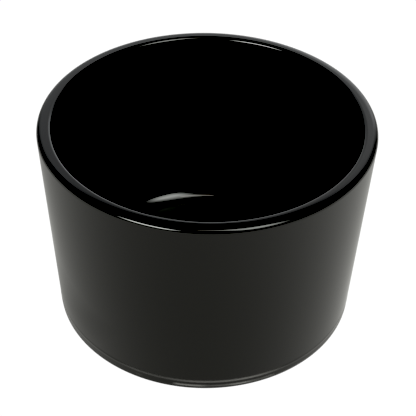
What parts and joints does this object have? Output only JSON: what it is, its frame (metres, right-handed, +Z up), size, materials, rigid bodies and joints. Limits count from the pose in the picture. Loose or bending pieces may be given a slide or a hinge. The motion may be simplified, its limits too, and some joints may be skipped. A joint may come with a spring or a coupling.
{
  "type": "empty candle jar",
  "caption": "Low round candle jar of glossy black pressed glass, open at the top, widening slightly towards a thick rounded rim.",
  "frame": {"origin": "centre of the underside, on the plane that the bearing ring stands on", "axes": "+Z up along the jar's axis, out of its mouth; the jar is a solid of revolution, so +X and +Y are free"},
  "size_m": [0.1198, 0.1198, 0.078],
  "materials": {
    "black_glass": "polished, opaque"
  },
  "bodies": {
    "root": {"glass_jar": "black_glass"}
  },
  "joints": []
}
